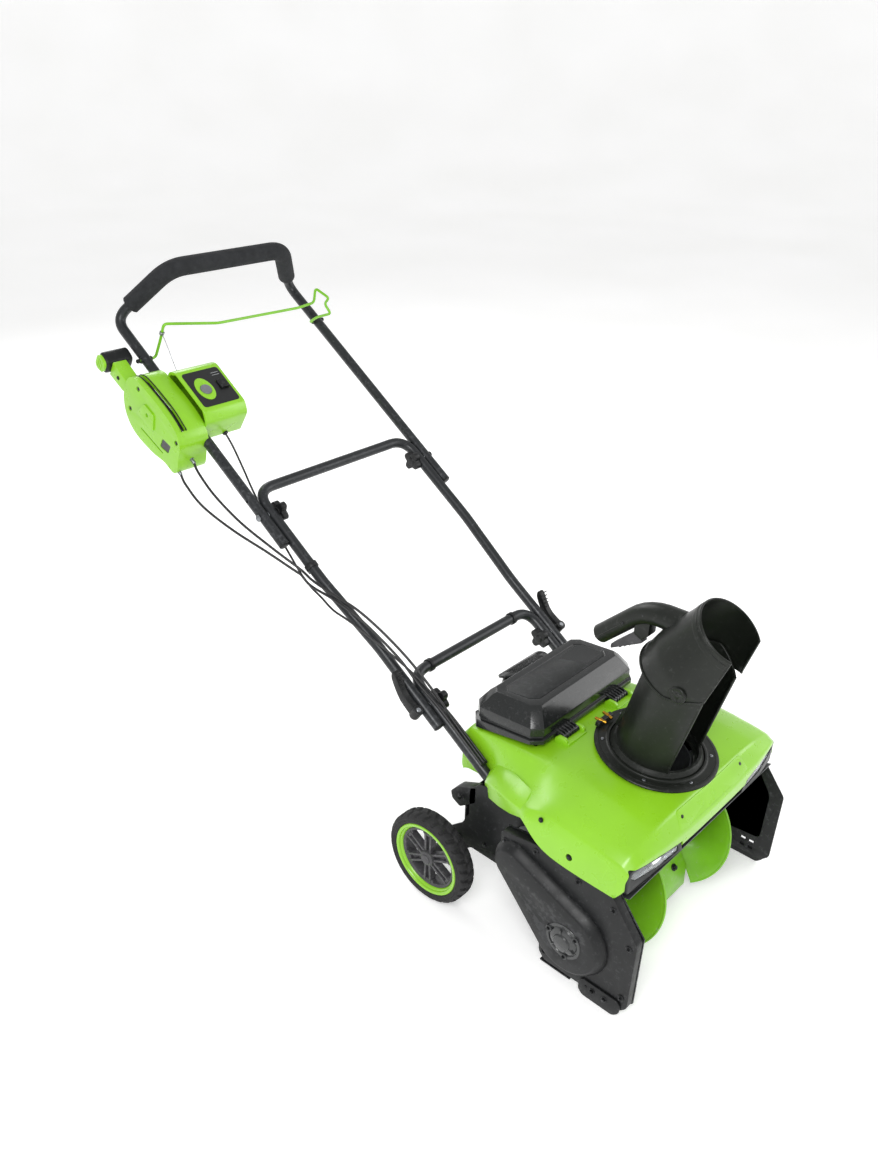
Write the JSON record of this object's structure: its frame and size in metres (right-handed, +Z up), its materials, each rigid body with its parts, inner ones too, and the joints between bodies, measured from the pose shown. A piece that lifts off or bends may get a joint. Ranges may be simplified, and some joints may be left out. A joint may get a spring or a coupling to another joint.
{
  "type": "snow thrower",
  "caption": "Battery single-stage snow thrower with a curved intake and auger, turning chute, lidded battery bay, wheels and a folding tube handle.",
  "frame": {"origin": "under the middle of the whole object's box, on the ground", "axes": "+Z up, -Y the way the intake faces, +X the operator's left when standing behind the handle at +Y"},
  "size_m": [0.6126, 1.4248, 1.0841],
  "materials": {
    "green_shell": "semi-gloss moulded plastic",
    "green_steel": "powder-coated sheet and wire",
    "black_steel": "satin powder coat",
    "tube_steel": "satin powder coat",
    "black_plastic": "textured moulded plastic",
    "gloss_plastic": "glossy moulded plastic",
    "hub_plastic": "moulded plastic",
    "rubber": "matte",
    "tyre": "matte",
    "foam": "closed-cell foam, matte",
    "lens": "clear, polished",
    "bright_steel": "bright, turned",
    "motor_steel": "plated steel",
    "grey_button": "moulded plastic"
  },
  "bodies": {
    "machine_body": {"hood": "green_shell", "headlight_bezel_right": "black_plastic", "headlight_bezel_left": "black_plastic", "headlight_lens_right": "lens", "headlight_lens_left": "lens", "auger_housing": "black_steel", "side_plate_left": "black_steel", "side_plate_right": "black_steel", "drive_cover": "black_plastic", "bearing_cap": "black_plastic", "rear_chassis": "black_plastic", "wheel_axle": "bright_steel", "motor": "motor_steel", "drive_belt": "rubber", "battery": "black_plastic", "scraper_bar": "black_steel", "skid_shoe_right": "black_plastic", "skid_shoe_left": "black_plastic", "chute_ring": "black_plastic", "lower_handle": "tube_steel"},
    "right_wheel": {"wheel_tyre_right": "tyre", "wheel_rim_right": "green_shell", "wheel_hub_right": "hub_plastic"},
    "left_wheel": {"wheel_tyre_left": "tyre", "wheel_rim_left": "green_shell", "wheel_hub_left": "hub_plastic"},
    "auger": {"auger_shaft": "bright_steel", "auger_flight_right": "green_steel", "auger_flight_left": "green_steel", "auger_paddle": "green_steel", "auger_pulley": "black_plastic"},
    "motor_drive": {"motor_pulley": "motor_steel"},
    "lid": {"battery_lid": "gloss_plastic"},
    "latch": {"lid_latch": "gloss_plastic"},
    "chute_tube": {"chute": "black_plastic"},
    "chute_deflector": {"deflector": "black_plastic"},
    "trigger": {"deflector_trigger": "hub_plastic"},
    "mid_frame": {"mid_handle": "tube_steel", "turn_cable_lower": "rubber", "tilt_cable_lower": "rubber", "switch_wire_lower": "rubber"},
    "upper_frame": {"upper_handle": "tube_steel", "foam_grip": "foam", "control_box_outer": "green_shell", "control_box_inner": "green_shell", "turn_cable_upper": "rubber", "tilt_cable_upper": "rubber", "switch_wire_upper": "rubber"},
    "lower_knob_right": {"lower_star_knob_right": "black_plastic"},
    "lower_knob_left": {"lower_star_knob_left": "black_plastic"},
    "upper_knob_right": {"upper_star_knob_right": "black_plastic"},
    "upper_knob_left": {"upper_star_knob_left": "black_plastic"},
    "lever_right": {"cam_lever_right": "black_plastic"},
    "lever_left": {"cam_lever_left": "black_plastic"},
    "bail": {"bail_bar": "green_steel"},
    "joystick_swing_part": {"joystick_lever": "green_shell"},
    "joystick_twist_part": {"joystick_grip": "black_plastic"},
    "button": {"start_button": "grey_button"},
    "rocker": {"rocker_switch": "black_plastic"}
  },
  "joints": [
    {"name": "right_wheel_spin", "type": "hinge", "parent": "machine_body", "child": "right_wheel", "pos_m": [0.01375, -0.2554, 0.098], "axis": [1, 0, 0], "continuous": true},
    {"name": "left_wheel_spin", "type": "hinge", "parent": "machine_body", "child": "left_wheel", "pos_m": [0.01375, -0.2554, 0.098], "axis": [1, 0, 0], "continuous": true},
    {"name": "auger_spin", "type": "hinge", "parent": "machine_body", "child": "auger", "pos_m": [0.01375, -0.5804, 0.116], "axis": [1, 0, 0], "continuous": true},
    {"name": "motor_spin", "type": "hinge", "parent": "machine_body", "child": "motor_drive", "pos_m": [0.01375, -0.4504, 0.205], "axis": [1, 0, 0], "continuous": true},
    {"name": "lid_open", "type": "hinge", "parent": "machine_body", "child": "lid", "pos_m": [0.01375, -0.4214, 0.3796], "axis": [1, 0, 0], "range_deg": [0, 52]},
    {"name": "latch_release", "type": "hinge", "parent": "lid", "child": "latch", "pos_m": [0.01375, -0.2394, 0.386], "axis": [1, 0, 0], "range_deg": [0, 12], "stiffness_Nm_per_rad": 0.05, "springref_deg": -17.19},
    {"name": "chute_turn", "type": "hinge", "parent": "machine_body", "child": "chute_tube", "pos_m": [0.01375, -0.5554, 0.3665], "axis": [0, -0.1219, 0.9925], "range_deg": [-90, 90]},
    {"name": "deflector_tilt", "type": "hinge", "parent": "chute_tube", "child": "chute_deflector", "pos_m": [0.01375, -0.62246, 0.56106], "axis": [1, 0, 0], "range_deg": [0, 28]},
    {"name": "trigger_squeeze", "type": "hinge", "parent": "chute_deflector", "child": "trigger", "pos_m": [0.01375, -0.4954, 0.583], "axis": [1, 0, 0], "range_deg": [0, 8], "stiffness_Nm_per_rad": 0.15, "springref_deg": -17.19},
    {"name": "mid_fold", "type": "hinge", "parent": "machine_body", "child": "mid_frame", "pos_m": [0.01375, -0.1664, 0.37], "axis": [1, 0, 0], "range_deg": [0, 95], "deforming": ["turn_cable_lower", "tilt_cable_lower", "switch_wire_lower"]},
    {"name": "upper_fold", "type": "hinge", "parent": "mid_frame", "child": "upper_frame", "pos_m": [0.01375, 0.2505, 0.64909], "axis": [1, 0, 0], "range_deg": [0, 100], "deforming": ["turn_cable_upper", "tilt_cable_upper", "switch_wire_upper"]},
    {"name": "lower_knob_right_spin", "type": "hinge", "parent": "machine_body", "child": "lower_knob_right", "pos_m": [0.01375, -0.1664, 0.37], "axis": [1, 0, 0], "continuous": true},
    {"name": "lower_knob_left_spin", "type": "hinge", "parent": "machine_body", "child": "lower_knob_left", "pos_m": [0.01375, -0.1664, 0.37], "axis": [1, 0, 0], "continuous": true},
    {"name": "upper_knob_right_spin", "type": "hinge", "parent": "mid_frame", "child": "upper_knob_right", "pos_m": [0.01375, 0.2505, 0.64909], "axis": [1, 0, 0], "continuous": true},
    {"name": "upper_knob_left_spin", "type": "hinge", "parent": "mid_frame", "child": "upper_knob_left", "pos_m": [0.01375, 0.2505, 0.64909], "axis": [1, 0, 0], "continuous": true},
    {"name": "lever_right_release", "type": "hinge", "parent": "mid_frame", "child": "lever_right", "pos_m": [-0.21125, -0.1664, 0.37], "axis": [0, -0.5563, 0.831], "range_deg": [0, 110]},
    {"name": "lever_left_release", "type": "hinge", "parent": "mid_frame", "child": "lever_left", "pos_m": [0.23875, -0.1664, 0.37], "axis": [0, 0.5563, -0.831], "range_deg": [0, 110]},
    {"name": "bail_squeeze", "type": "hinge", "parent": "upper_frame", "child": "bail", "pos_m": [0.01375, 0.61473, 0.89292], "axis": [-1, 0, 0], "range_deg": [0, 38], "stiffness_Nm_per_rad": 0.6, "springref_deg": -28.65},
    {"name": "joystick_swing", "type": "hinge", "parent": "upper_frame", "child": "joystick_swing_part", "pos_m": [-0.2745, 0.51396, 0.79537], "axis": [1, 0, 0], "range_deg": [0, 75]},
    {"name": "joystick_twist", "type": "hinge", "parent": "joystick_swing_part", "child": "joystick_twist_part", "pos_m": [-0.2745, 0.6386, 0.87882], "axis": [0, 0.831, 0.5563], "range_deg": [-45, 45]},
    {"name": "start_press", "type": "slide", "parent": "upper_frame", "child": "button", "axis": [0, 0.5563, -0.831], "range_m": [0, 0.003], "stiffness_N_per_m": 300, "springref_m": -0.002},
    {"name": "rocker_tip", "type": "hinge", "parent": "upper_frame", "child": "rocker", "pos_m": [-0.14125, 0.46725, 0.85436], "axis": [1, 0, 0], "range_deg": [-8, 8]}
  ],
  "couplings": [
    {"joint": "motor_spin", "follows": "auger_spin", "ratio": 3.4375},
    {"joint": "joystick_swing", "follows": "deflector_tilt", "ratio": 2.6},
    {"joint": "joystick_twist", "follows": "chute_turn", "ratio": 0.5}
  ]
}
